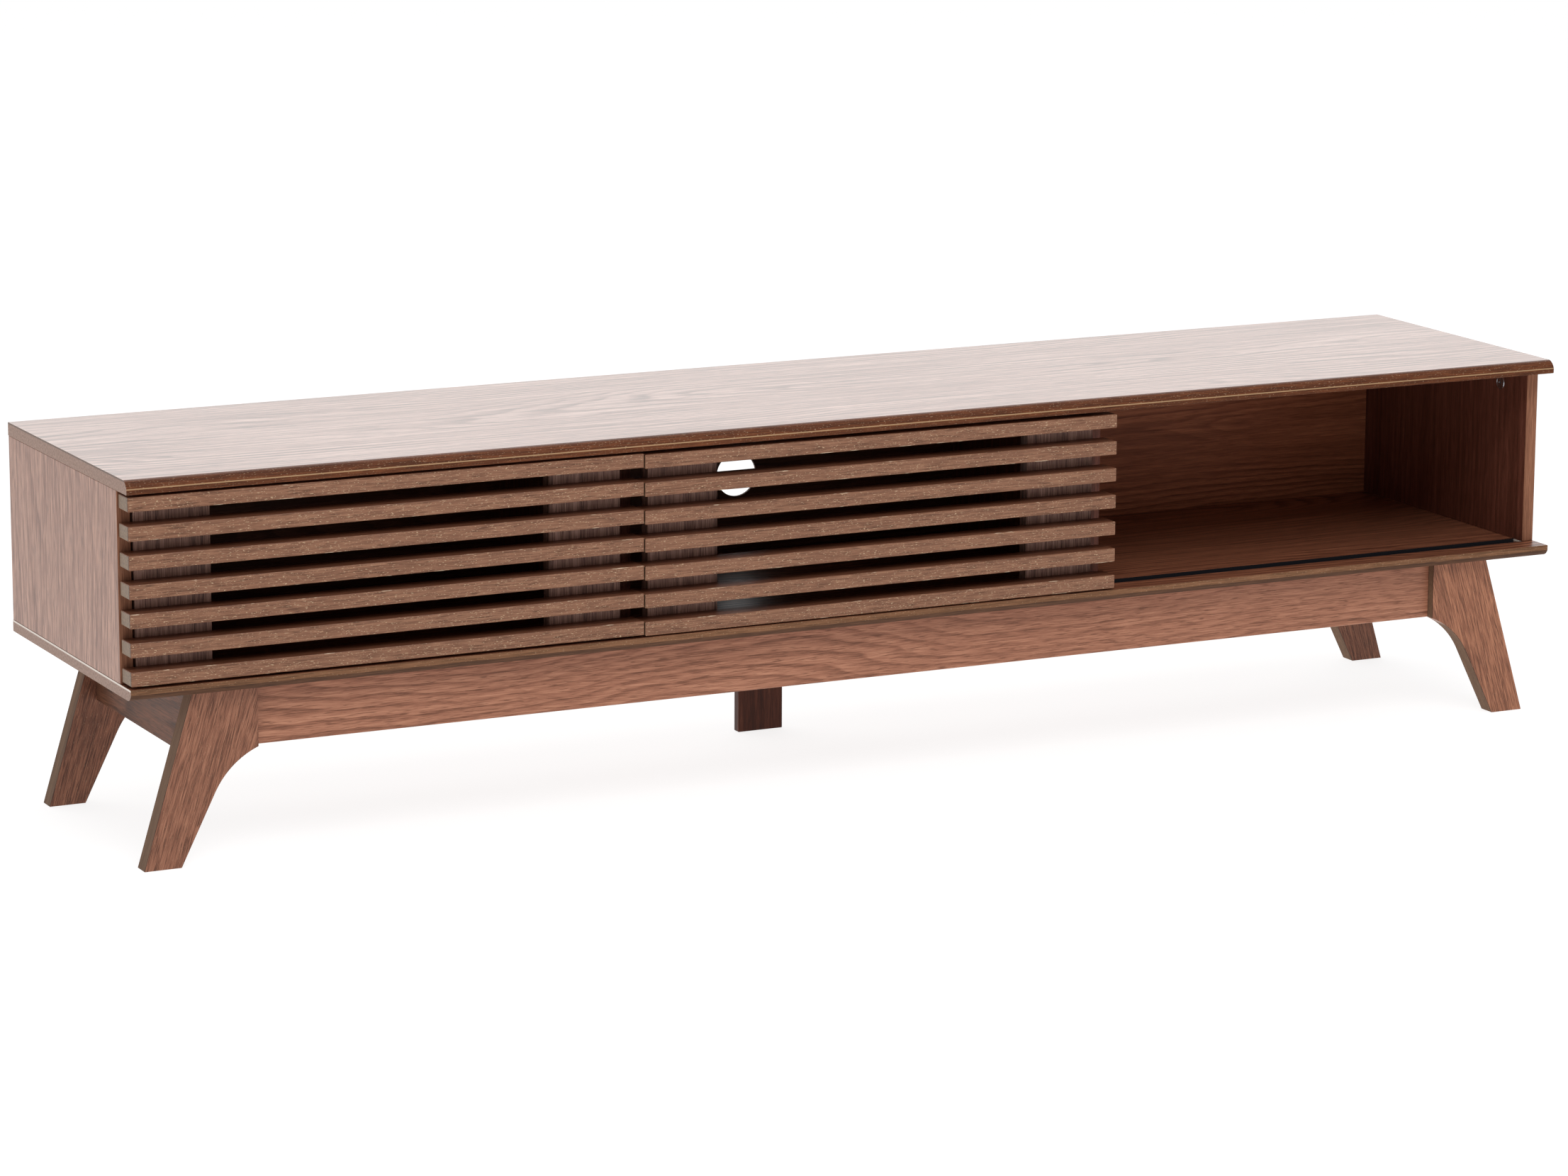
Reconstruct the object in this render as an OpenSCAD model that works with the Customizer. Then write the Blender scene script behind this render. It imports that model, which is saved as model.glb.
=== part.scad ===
// Low media cabinet: three bays, two slatted doors that slide on one track, splayed board legs.
// Millimetres. The origin is under the middle of the cabinet, on the floor; +X runs along the cabinet,
// the front faces -Y and +Z is up.

/* [Carcass] */
// Overall length of the cabinet
cab_w = 1800; // [1400:10:2400]
// Overall depth of the cabinet
cab_d = 390; // [350:5:500]
// Overall height of the cabinet
cab_h = 430; // [380:5:560]
// Height of the carcass underside above the floor
base_h = 192; // [150:2:230]
// Thickness of the top, side and divider boards
board_t = 15; // [14:1:22]
// Thickness of the bottom board
bottom_t = 13; // [13:1:22]
// Thickness of the back panel
back_t = 3; // [2.5:0.5:6]
// How far the side panels' front edges sit behind the front lip
side_recess = 32; // [26:1:45]
// Height of the upright lip on the front nose of the top and bottom boards
lip_h = 6; // [4:0.5:8]
// Depth of the rounded bevel behind the lip
nose_d = 10; // [6:0.5:14]
// Diameter of the cable hole in the back panel
cable_hole_d = 52; // [30:1:80]
// Height of the cable hole's centre above the bay floor
cable_hole_up = 93; // [60:1:120]

/* [Doors] */
// Height of a slat
slat_h = 15.6; // [10:0.2:18]
// Depth of a slat, front to back
slat_d = 28.5; // [16:0.5:32]
// Gap above the top slat and under the bottom slat
slat_clear = 3; // [2:0.5:6]
// Width of a door stile
stile_w = 86; // [50:1:120]
// Thickness of a door stile
stile_t = 16; // [12:1:18]
// Gap between a stile and the side panel beside it
stile_clear = 2.5; // [1:0.5:15]
// Gap between neighbouring doors and at the cabinet's ends
door_gap = 1.5; // [1:0.5:4]
// How much lower than the left door the middle door hangs
middle_drop = 1.5; // [0:0.5:1.5]

/* [Track] */
// Width of the track channel, outside
track_w = 20; // [20:1:26]
// Depth of the groove that holds the track
track_h = 8; // [6:0.5:9]
// Wall of the track channel
track_wall = 1.5; // [1:0.1:2]
// Length of a door glide
glide_l = 44; // [30:2:60]

/* [Base] */
// Thickness of a leg
leg_t = 22; // [22:1:28]
// Thickness of the aprons and the side rails
frame_t = 12; // [12:1:15]
// Width of a leg at the floor
foot_w = 42; // [35:1:60]
// Distance from the cabinet's end to the foot's outer edge
foot_inset = 18; // [10:1:60]
// Distance from the cabinet's end to the leg's outer edge at its top
leg_top_inset = 76; // [60:1:110]
// Width of a leg at its top
leg_top_w = 74; // [66:1:100]
// Distance from the front lip to the front legs' front face
leg_front = 19; // [10:1:40]
// Distance from the back edge to the rear legs' back face
leg_back = 37; // [10:1:80]
// Height of the front and rear aprons
apron_h = 67; // [55:1:90]
// Distance from a leg's face back to the apron's face
apron_recess = 10; // [3:1:10]
// Height of the side rails
rail_h = 75; // [60:1:90]
// Width of the centre leg
centre_leg_w = 58; // [40:1:80]
// Thickness of the centre leg
centre_leg_t = 12; // [10:1:22]

/* [Fittings] */
// Diameter of a cam lock
cam_d = 15; // [15:1:16]
// Depth of a cam lock
cam_l = 12.5; // [11:0.5:13]
// Distance from a board's end to the cam's centre
cam_edge = 24; // [22:1:34]
// Distance from a side panel's front edge to the front cam's centre
cam_front = 57.5; // [45:0.5:80]
// Distance from the cabinet's back edge to the rear cam's centre
cam_back = 60; // [45:1:80]
// Diameter of a dowel
dowel_d = 8; // [6:1:8]
// Distance from a cam to the dowel beside it
dowel_step = 32; // [24:1:40]

/* [Hidden] */

walnut = "#8a6248";
walnut_light = "#b3968a";
edge_band = "#9f8a7b";
plastic = "#15151a";
zinc = "#b9bcc2";
beech = "#d8b98c";

bay_count = 3;
slat_count = 7;
slip = 0.05;      // radial clearance of a fitting in its hole
run_gap = 0.5;    // clearance of a glide in its track, on each side
arris = 0.7;      // size of the eased edges
nose_rise = 1.8;  // how far the bevel's arc stands out from its chord

// Heights
floor_z = base_h + bottom_t;         // top of the bottom board
roof_z = cab_h - board_t;            // underside of the top board
opening_h = roof_z - floor_z;

// Places along Y, from the front lip to the back edge
front_y = -cab_d / 2;
back_y = cab_d / 2;
side_y = front_y + side_recess;      // front edges of the side panels
back_inset = 1;                      // the back panel sits this far in, so that its pins' heads stay inside
side_back_y = back_y - back_inset;   // rear edges of the side panels, rear face of the back panel
carcass_y = side_back_y - back_t;    // front face of the back panel, rear edges of the dividers
slat_gap = 2;                        // slats clear the side panels' front edges by this
slat_back_y = side_y - slat_gap;
slat_y = slat_back_y - slat_d;
track_y = side_y;
track_back_y = track_y + track_w;
divider_y = max(track_back_y, slat_back_y + stile_t) + 2;
rebate = board_t / 2;                // rebate round the carcass that holds the back panel
rebate_slip = 0.5;

// Places along X
side_in_x = cab_w / 2 - board_t;     // inner faces of the side panels
bay_pitch = cab_w / bay_count;
divider_x = bay_pitch / 2;           // centre lines of the dividers, at -divider_x and +divider_x
back_half_w = side_in_x + rebate - rebate_slip;
back_low_z = floor_z - rebate + rebate_slip;
back_high_z = roof_z + rebate - rebate_slip;

// Doors
door_w = (cab_w - (bay_count + 1) * door_gap) / bay_count;
left_door_x = -cab_w / 2 + door_gap;             // left ends of the two doors
middle_door_x = left_door_x + door_w + door_gap;
slat_overhang = board_t - door_gap + stile_clear; // how far the slats run past the stiles
slat_pitch = (opening_h - 2 * slat_clear - slat_h) / (slat_count - 1);
stile_z = floor_z + slat_clear;
stile_h = opening_h - 2 * slat_clear;
glide_w = track_w - 2 * track_wall - 2 * run_gap;
glide_y = track_y + track_wall + run_gap;
glide_peg_d = 6;
glide_peg_l = 18;
glide_peg_y = (glide_y + slat_back_y + stile_t) / 2;
track_floor_gap = 0.4;
screw_off = stile_w * 0.22;          // slat screws sit this far outwards from a stile's centre line
screw_d = 3.5;
screw_head_d = 7;
screw_head_h = 2.5;
slat_screw_l = stile_t + slat_d * 0.6;

// Base
leg_front_y = front_y + leg_front;
leg_rear_y = back_y - leg_back - leg_t;
apron_front_y = leg_front_y + apron_recess;
apron_rear_y = leg_rear_y + leg_t - apron_recess - frame_t;
leg_in_x = cab_w / 2 - leg_top_inset - leg_top_w;        // inner edge of a leg's top
rail_x = cab_w / 2 - leg_top_inset - frame_t;            // inner face of the right side rail
rail_front_y = leg_front_y + leg_t;
rail_rear_y = leg_rear_y;
curve_end_z = base_h - apron_h;      // the leg's inner curve ends at the apron's lower edge
curve_rise = 46;                     // height of that curve
curve_share = 0.44;                  // share of the inner edge's run that is straight
curve_steps = 24;

// Fittings
cam_front_y = side_y + cam_front;
cam_rear_y = back_y - cam_back;
cam_ys = [cam_front_y, cam_rear_y];
dowel_ys = [cam_front_y + dowel_step, cam_rear_y - dowel_step];
bolt_d = 6;
bolt_neck_d = 4.5;
bolt_head_h = 3;
dowel_in_panel = 8;                  // dowel depth in the face of the top or bottom board
dowel_in_edge = 20;
bolt_in_top = 10;
carcass_screw_d = 5;                 // screws up through the bottom board into the uprights
carcass_screw_l = 50;
carcass_head_d = 9;
carcass_head_h = 4;
base_cam_l = frame_t - 2;
base_cam_z = base_h - 22;
base_bolt_in_leg = 10;
base_dowel_d = 6;
base_dowel_in_leg = 10;
apron_dowel_z = base_h - apron_h + 14;
rail_dowel_z = base_h - rail_h + 14;
bracket_leg = 25;
bracket_hole = 17;                   // a bracket's holes sit this far from its corner
bracket_w = 16;
bracket_t = 2;
bracket_screw_l = 11;
bracket_head_d = 6.5;
bracket_head_h = 2;
bracket_xs = [-cab_w / 3, -cab_w / 9, cab_w / 9, cab_w / 3];
leg_screw_l = 20;
pin_d = 1.4;
pin_l = 18;
pin_head_d = 3.6;
pin_head_h = 0.7;
pin_step = 150;

// ---------------------------------------------------------------- helpers

// A board from one corner to the other, with every edge eased by a small flat
module eased_block(from, to, ease = arris) {
    size = to - from;
    translate(from)
        intersection() {
            rotate([90, 0, 90]) linear_extrude(size[0]) eased_rect(size[1], size[2], ease);
            translate([0, size[1], 0]) rotate([90, 0, 0]) linear_extrude(size[1]) eased_rect(size[0], size[2], ease);
            linear_extrude(size[2]) eased_rect(size[0], size[1], ease);
        }
}

module eased_rect(w, h, e) {
    polygon([[e, 0], [w - e, 0], [w, e], [w, h - e], [w - e, h], [e, h], [0, h - e], [0, e]]);
}

module block(from, to) {
    translate(from) cube(to - from);
}

// A round rod along an axis: "x", "y" or "z", from a point, towards plus
module rod(from, d, l, axis = "z", d_end = 0) {
    translate(from)
        rotate(axis == "x" ? [0, 90, 0] : axis == "y" ? [-90, 0, 0] : [0, 0, 0])
            cylinder(d1 = d, d2 = d_end > 0 ? d_end : d, h = l, $fn = 48);
}

module mirrored(flip) {
    if (flip) mirror([1, 0, 0]) children();
    else children();
}

// Points on an arc from p to q that stands out to the left of the way from p to q by the given rise
function arc_points(p, q, rise, n) =
    let (
        c = norm(q - p),
        r = (c * c / 4 + rise * rise) / (2 * rise),
        left = [p[1] - q[1], q[0] - p[0]] / c,
        o = (p + q) / 2 - left * (r - rise),
        a0 = atan2(p[1] - o[1], p[0] - o[0]),
        a1 = atan2(q[1] - o[1], q[0] - o[0])
    )
    [for (i = [0:n]) o + r * [cos(a0 + (a1 - a0) * i / n), sin(a0 + (a1 - a0) * i / n)]];

// The outline of the top board's cross-section, front to the left: a lip, then a rounded bevel up to the top face
module nose_outline(t) {
    e = arris;
    polygon(concat(
        [[0, e]],
        arc_points([0, lip_h], [nose_d, t], nose_rise, 8),
        [[cab_d - e, t], [cab_d, t - e], [cab_d, 0], [e, 0]]
    ));
}

// ---------------------------------------------------------------- carcass

// Blind holes in a panel's face for the uprights' dowels, from z upwards
module dowel_holes(z) {
    for (x = upright_xs(), y = dowel_ys) rod([x, y, z], dowel_d + 2 * slip, dowel_in_panel);
}

// A screw from under the bottom board up into an upright; grow makes the hole for it
module carcass_screw(x, y, grow = 0) {
    translate([x, y, base_h]) rotate([-90, 0, 0])
        countersunk([0, 0, 0], carcass_screw_l, grow, carcass_screw_d, carcass_head_d, carcass_head_h);
}

module carcass_screws() {
    color(zinc) for (x = upright_xs(), y = cam_ys) carcass_screw(x, y);
}

function upright_xs() =
    [-cab_w / 2 + board_t / 2, -divider_x, divider_x, cab_w / 2 - board_t / 2];

module back_rebate() {
    block([-side_in_x - rebate, carcass_y, floor_z - rebate], [side_in_x + rebate, back_y + 1, roof_z + rebate]);
}

// The pins that hold the back panel, as rods: a row above, a row below, and two into each upright
pin_count = floor(2 * side_in_x / pin_step);
pin_xs = [for (i = [0:pin_count]) (i - pin_count / 2) * 2 * (side_in_x - 25) / pin_count];
pin_zs = [floor_z + opening_h * 0.27, floor_z + opening_h * 0.73];
pin_uprights = [-side_in_x - rebate / 2, -divider_x, divider_x, side_in_x + rebate / 2];

module pin_row(z, grow = 0) {
    for (x = pin_xs) pin(x, z, grow);
}

module pin_column(x, grow = 0) {
    for (z = pin_zs) pin(x, z, grow);
}

module pin(x, z, grow) {
    rod([x, carcass_y + back_t - pin_l - grow, z], pin_d + 2 * grow, pin_l + grow + (grow > 0 ? 0.5 : 0.2), "y");
    if (grow == 0) rod([x, carcass_y + back_t, z], pin_head_d, pin_head_h, "y");
}

module track_groove(z0, z1) {
    block([-side_in_x, track_y, z0], [side_in_x, track_back_y, z1]);
}

module top_panel() {
    color(walnut_light)
        difference() {
            translate([-cab_w / 2, front_y, roof_z])
                rotate([90, 0, 90]) linear_extrude(cab_w) nose_outline(board_t);
            track_groove(roof_z - 1, roof_z + track_h);
            back_rebate();
            pin_row(roof_z + rebate / 2, slip);
            dowel_holes(roof_z);
            for (x = upright_xs(), y = cam_ys) rod([x, y, roof_z], bolt_d + 2 * slip, bolt_in_top);
        }
}

module bottom_panel() {
    color(walnut)
        difference() {
            translate([-cab_w / 2, front_y, floor_z])
                mirror([0, 0, 1])
                    rotate([90, 0, 90]) linear_extrude(cab_w) nose_outline(bottom_t);
            track_groove(floor_z - track_h, floor_z + 1);
            back_rebate();
            pin_row(floor_z - rebate / 2, slip);
            dowel_holes(floor_z - dowel_in_panel);
            for (x = upright_xs(), y = cam_ys) carcass_screw(x, y, slip);
            bracket_places() rod([bracket_hole, 0, -1], screw_d + 2 * slip, bracket_screw_l - bracket_t + 1 + slip);
        }
}

// An upright board between the panels, with cam pockets near its top in the face on one side
module upright(x0, y0, y1, face, pin_x) {
    xm = x0 + board_t / 2;
    difference() {
        eased_block([x0, y0, floor_z], [x0 + board_t, y1, roof_z]);
        if (y1 > carcass_y) back_rebate();
        pin_column(pin_x, slip);
        for (y = cam_ys) {
            rod([face > 0 ? x0 + board_t - cam_l : x0 - 1, y, roof_z - cam_edge], cam_d + 2 * slip, cam_l + 1, "x");
            rod([xm, y, roof_z - cam_edge], bolt_d + 2 * slip, cam_edge + 1);
            carcass_screw(xm, y, slip);
        }
        for (y = dowel_ys) {
            rod([xm, y, floor_z - 1], dowel_d + 2 * slip, dowel_in_edge + 1);
            rod([xm, y, roof_z - dowel_in_edge], dowel_d + 2 * slip, dowel_in_edge + 1);
        }
    }
}

module side_panel_left() { color(walnut_light) upright(-cab_w / 2, side_y, side_back_y, 1, pin_uprights[0]); }
module side_panel_right() { color(walnut_light) upright(side_in_x, side_y, side_back_y, -1, pin_uprights[3]); }
module divider_left() { color(walnut) upright(-divider_x - board_t / 2, divider_y, carcass_y, -1, pin_uprights[1]); }
module divider_right() { color(walnut) upright(divider_x - board_t / 2, divider_y, carcass_y, -1, pin_uprights[2]); }

module back_panel() {
    color(walnut)
        difference() {
            block([-back_half_w, carcass_y, back_low_z], [back_half_w, carcass_y + back_t, back_high_z]);
            rod([0, carcass_y - 1, floor_z + cable_hole_up], cable_hole_d, back_t + 2, "y");
            pin_row(roof_z + rebate / 2, slip);
            pin_row(floor_z - rebate / 2, slip);
            for (x = pin_uprights) pin_column(x, slip);
        }
}

module back_pins() {
    color(zinc) {
        pin_row(roof_z + rebate / 2);
        pin_row(floor_z - rebate / 2);
        for (x = pin_uprights) pin_column(x);
    }
}

module track(z0, open) {
    // a channel in its groove; open is +1 when it opens upwards
    color(plastic)
        difference() {
            block([-side_in_x, track_y, z0], [side_in_x, track_back_y, z0 + track_h]);
            block([-side_in_x - 1, track_y + track_wall, open > 0 ? z0 + track_wall : z0 - 1],
                  [side_in_x + 1, track_back_y - track_wall, open > 0 ? z0 + track_h + 1 : z0 + track_h - track_wall]);
        }
}

module track_lower() { track(floor_z - track_h, 1); }
module track_upper() { track(roof_z, -1); }

// ---------------------------------------------------------------- base

// The arc, in the leg's own outline, that leaves the straight inner edge smoothly and ends at the apron.
// It starts at t with the direction of the straight edge from f, and ends at p.
function blend_arc(f, t, p) =
    let (
        d = (t - f) / norm(t - f),
        n = [d[1], -d[0]],
        w = p - t,
        r = (w * w) / (2 * (w * n)),
        c = t + r * n,
        a0 = atan2(t[1] - c[1], t[0] - c[0]),
        a1 = atan2(p[1] - c[1], p[0] - c[0])
    )
    [for (i = [0:curve_steps]) c + r * [cos(a0 + (a1 - a0) * i / curve_steps), sin(a0 + (a1 - a0) * i / curve_steps)]];

// A leg's outline: the first number runs inwards from the cabinet's end, the second is the height
function leg_outline() =
    let (
        foot_in = [foot_inset + foot_w, 0],
        top_in = leg_top_inset + leg_top_w,
        curve_from = [foot_in[0] + (top_in - foot_in[0]) * curve_share, curve_end_z - curve_rise],
        curve_to = [top_in, curve_end_z]
    )
    concat(
        [[foot_inset, 0], foot_in],
        blend_arc(foot_in, curve_from, curve_to),
        [[top_in, base_h], [leg_top_inset, base_h]]
    );

// The leg at the cabinet's right end. Its back or front face, rail_y, meets the side rail.
module leg(y0, apron_y, rail_y) {
    behind = rail_y > y0;
    color(walnut)
        difference() {
            translate([cab_w / 2, y0 + leg_t, 0])
                rotate([90, 0, 0])
                    linear_extrude(leg_t)
                        mirror([1, 0]) polygon(leg_outline());
            rod([leg_in_x - 1, apron_y + frame_t / 2, base_cam_z], bolt_d + 2 * slip, base_bolt_in_leg + 1, "x");
            rod([leg_in_x - 1, apron_y + frame_t / 2, apron_dowel_z], base_dowel_d + 2 * slip, base_dowel_in_leg + 1, "x");
            rod([rail_x + frame_t / 2, behind ? rail_y - base_bolt_in_leg : rail_y - 1, base_cam_z],
                bolt_d + 2 * slip, base_bolt_in_leg + 1, "y");
            rod([rail_x + frame_t / 2, behind ? rail_y - base_dowel_in_leg : rail_y - 1, rail_dowel_z],
                base_dowel_d + 2 * slip, base_dowel_in_leg + 1, "y");
        }
}

module leg_front_right() { leg(leg_front_y, apron_front_y, rail_front_y); }
module leg_rear_right() { leg(leg_rear_y, apron_rear_y, rail_rear_y); }
module leg_front_left() { mirrored(true) leg_front_right(); }
module leg_rear_left() { mirrored(true) leg_rear_right(); }

// An apron between two legs; inside is the side of its inner face, +1 when that face looks back
module apron(y0, inside) {
    face_y = inside > 0 ? y0 + frame_t : y0;
    difference() {
        eased_block([-leg_in_x, y0, base_h - apron_h], [leg_in_x, y0 + frame_t, base_h]);
        for (flip = [false, true]) mirrored(flip) {
            rod([leg_in_x - cam_edge, inside > 0 ? face_y - base_cam_l : face_y - 1, base_cam_z],
                cam_d + 2 * slip, base_cam_l + 1, "y");
            rod([leg_in_x - cam_edge, y0 + frame_t / 2, base_cam_z], bolt_d + 2 * slip, cam_edge + 1, "x");
            rod([leg_in_x - dowel_in_edge, y0 + frame_t / 2, apron_dowel_z],
                base_dowel_d + 2 * slip, dowel_in_edge + 1, "x");
        }
        bracket_places()
            rod([bracket_t - bracket_screw_l - slip, 0, -bracket_hole], screw_d + 2 * slip, bracket_screw_l, "x");
    }
}

module front_apron() { color(walnut) apron(apron_front_y, 1); }
module rear_apron() {
    color(walnut)
        difference() {
            apron(apron_rear_y, -1);
            for (z = leg_screw_zs) leg_screw(z, slip);
        }
}

module side_rail_right() {
    color(walnut)
        difference() {
            eased_block([rail_x, rail_front_y, base_h - rail_h], [rail_x + frame_t, rail_rear_y, base_h]);
            for (y = [rail_front_y + cam_edge, rail_rear_y - cam_edge])
                rod([rail_x - 1, y, base_cam_z], cam_d + 2 * slip, base_cam_l + 1, "x");
            rod([rail_x + frame_t / 2, rail_front_y - 1, base_cam_z], bolt_d + 2 * slip, cam_edge + 1, "y");
            rod([rail_x + frame_t / 2, rail_rear_y - cam_edge, base_cam_z], bolt_d + 2 * slip, cam_edge + 1, "y");
            rod([rail_x + frame_t / 2, rail_front_y - 1, rail_dowel_z], base_dowel_d + 2 * slip, dowel_in_edge + 1, "y");
            rod([rail_x + frame_t / 2, rail_rear_y - dowel_in_edge, rail_dowel_z],
                base_dowel_d + 2 * slip, dowel_in_edge + 1, "y");
            bracket_places()
                rod([bracket_t - bracket_screw_l - slip, 0, -bracket_hole], screw_d + 2 * slip, bracket_screw_l, "x");
        }
}
module side_rail_left() { mirrored(true) side_rail_right(); }

// The centre leg stands against the rear apron's front face
leg_screw_zs = [base_h - 20, base_h - apron_h + 15];

module centre_leg() {
    color(walnut)
        difference() {
            eased_block([-centre_leg_w / 2, apron_rear_y - centre_leg_t, 0], [centre_leg_w / 2, apron_rear_y, base_h]);
            for (z = leg_screw_zs) leg_screw(z, slip);
        }
}

module leg_screw(z, grow = 0) {
    for (x = [-centre_leg_w / 4, centre_leg_w / 4])
        countersunk([x, apron_rear_y + frame_t, z], leg_screw_l, grow);
}

module centre_leg_screws() {
    color(zinc) for (z = leg_screw_zs) leg_screw(z);
}

// ---------------------------------------------------------------- fittings

// A wood screw whose flush head faces +Y, at the point "at"; grow makes the hole for it
module countersunk(at, l, grow = 0, d = screw_d, head_d = screw_head_d, head_h = screw_head_h) {
    rod([at[0], at[1] - l - grow, at[2]], d + 2 * grow, l + grow - (grow > 0 ? 0 : head_h / 2), "y");
    rod([at[0], at[1] - head_h, at[2]], d + 2 * grow, head_h, "y", head_d + 2 * grow);
    if (grow > 0) rod([at[0], at[1], at[2]], head_d + 2 * grow, 1, "y");
}

// A cam lock lying on its back: its face looks up +Z from z = 0, and its bolt comes in from -X at depth bolt_z
module cam_lock(l, bolt_z) {
    difference() {
        translate([0, 0, -l]) cylinder(d = cam_d, h = l, $fn = 48);
        rod([-cam_d, 0, -bolt_z], bolt_d + 1, cam_d + 4, "x");
        for (a = [0, 90]) rotate([0, 0, a]) block([-3.5, -0.6, -1.5], [3.5, 0.6, 1]);
    }
}

// A cam bolt that stands on z = 0 with its thread below and its head at the cam's centre, edge above
module cam_bolt(thread) {
    translate([0, 0, -thread]) cylinder(d = bolt_d, h = thread, $fn = 48);
    translate([0, 0, -1]) cylinder(d = bolt_neck_d, h = cam_edge + 1, $fn = 48);
    translate([0, 0, cam_edge - 1]) cylinder(d = bolt_d, h = bolt_head_h, $fn = 48);
}

// Every upright's cams: children face +Z with their bolt coming from -X
upright_faces = [
    [-side_in_x, 1], [-divider_x - board_t / 2, -1], [divider_x - board_t / 2, -1], [side_in_x, -1]
];

module cam_locks() {
    color(zinc)
        for (u = upright_faces, y = cam_ys)
            translate([u[0], y, roof_z - cam_edge])
                rotate([0, u[1] * 90, 0])
                    rotate([0, 0, u[1] > 0 ? 0 : 180]) cam_lock(cam_l, board_t / 2);
}

module cam_bolts() {
    color(zinc)
        for (x = upright_xs(), y = cam_ys)
            translate([x, y, roof_z]) rotate([180, 0, 0]) cam_bolt(bolt_in_top);
}

module dowels() {
    color(beech)
        for (x = upright_xs(), y = dowel_ys) {
            rod([x, y, floor_z - dowel_in_panel], dowel_d, dowel_in_panel + dowel_in_edge);
            rod([x, y, roof_z - dowel_in_edge], dowel_d, dowel_in_panel + dowel_in_edge);
        }
}

module base_cam_locks() {
    color(zinc)
        for (flip = [false, true]) mirrored(flip) {
            translate([leg_in_x - cam_edge, apron_front_y + frame_t, base_cam_z])
                rotate([-90, 0, 0]) rotate([0, 0, 180]) cam_lock(base_cam_l, frame_t / 2);
            translate([leg_in_x - cam_edge, apron_rear_y, base_cam_z])
                rotate([90, 0, 0]) rotate([0, 0, 180]) cam_lock(base_cam_l, frame_t / 2);
            translate([rail_x, rail_front_y + cam_edge, base_cam_z])
                rotate([0, -90, 0]) rotate([0, 0, 90]) cam_lock(base_cam_l, frame_t / 2);
            translate([rail_x, rail_rear_y - cam_edge, base_cam_z])
                rotate([0, -90, 0]) rotate([0, 0, -90]) cam_lock(base_cam_l, frame_t / 2);
        }
}

module base_cam_bolts() {
    color(zinc)
        for (flip = [false, true]) mirrored(flip) {
            for (y = [apron_front_y, apron_rear_y])
                translate([leg_in_x, y + frame_t / 2, base_cam_z]) rotate([0, -90, 0]) cam_bolt(base_bolt_in_leg);
            translate([rail_x + frame_t / 2, rail_front_y, base_cam_z]) rotate([-90, 0, 0]) cam_bolt(base_bolt_in_leg);
            translate([rail_x + frame_t / 2, rail_rear_y, base_cam_z]) rotate([90, 0, 0]) cam_bolt(base_bolt_in_leg);
        }
}

module base_dowels() {
    color(beech)
        for (flip = [false, true]) mirrored(flip) {
            for (y = [apron_front_y, apron_rear_y])
                rod([leg_in_x - dowel_in_edge, y + frame_t / 2, apron_dowel_z],
                    base_dowel_d, dowel_in_edge + base_dowel_in_leg, "x");
            rod([rail_x + frame_t / 2, rail_front_y - base_dowel_in_leg, rail_dowel_z],
                base_dowel_d, dowel_in_edge + base_dowel_in_leg, "y");
            rod([rail_x + frame_t / 2, rail_rear_y - dowel_in_edge, rail_dowel_z],
                base_dowel_d, dowel_in_edge + base_dowel_in_leg, "y");
        }
}

// Where the brackets sit: their corner at the origin, one arm along +X under the bottom board, one arm down
module bracket_places() {
    for (x = bracket_xs) {
        translate([x, apron_front_y + frame_t, base_h]) rotate([0, 0, 90]) children();
        translate([x, apron_rear_y, base_h]) rotate([0, 0, -90]) children();
    }
    translate([rail_x, (rail_front_y + rail_rear_y) / 2, base_h]) rotate([0, 0, 180]) children();
    translate([-rail_x, (rail_front_y + rail_rear_y) / 2, base_h]) children();
}

module angle_brackets() {
    color(zinc)
        bracket_places()
            difference() {
                union() {
                    block([0, -bracket_w / 2, -bracket_t], [bracket_leg, bracket_w / 2, 0]);
                    block([0, -bracket_w / 2, -bracket_leg], [bracket_t, bracket_w / 2, 0]);
                }
                rod([bracket_hole, 0, -bracket_t - 1], screw_d + 2 * slip, bracket_t + 2);
                rod([-1, 0, -bracket_hole], screw_d + 2 * slip, bracket_t + 2, "x");
            }
}

module bracket_screws() {
    color(zinc)
        bracket_places() {
            rod([bracket_hole, 0, -bracket_t], screw_d, bracket_screw_l);
            rod([bracket_hole, 0, -bracket_t - bracket_head_h], bracket_head_d, bracket_head_h);
            translate([bracket_t - bracket_screw_l, 0, -bracket_hole]) rotate([0, 90, 0]) {
                cylinder(d = screw_d, h = bracket_screw_l, $fn = 48);
                translate([0, 0, bracket_screw_l]) cylinder(d = bracket_head_d, h = bracket_head_h, $fn = 48);
            }
        }
}

// ---------------------------------------------------------------- doors

// A door's stiles: side is -1 for its left stile, +1 for its right one
function stile_x(x, side) = side < 0 ? x + slat_overhang : x + door_w - slat_overhang - stile_w;
function stile_mid(x, side) = stile_x(x, side) + stile_w / 2;
function slat_z(i, low) = stile_z - low + (i - 1) * slat_pitch;

module slat(x, low, i) {
    color(walnut)
        difference() {
            eased_block([x, slat_y, slat_z(i, low)], [x + door_w, slat_back_y, slat_z(i, low) + slat_h]);
            for (side = [-1, 1]) slat_screw(x, low, i, side, slip);
        }
}

module slat_screw(x, low, i, side, grow = 0) {
    countersunk([stile_mid(x, side) + side * screw_off, slat_back_y + stile_t, slat_z(i, low) + slat_h / 2],
                slat_screw_l, grow);
}

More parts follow.
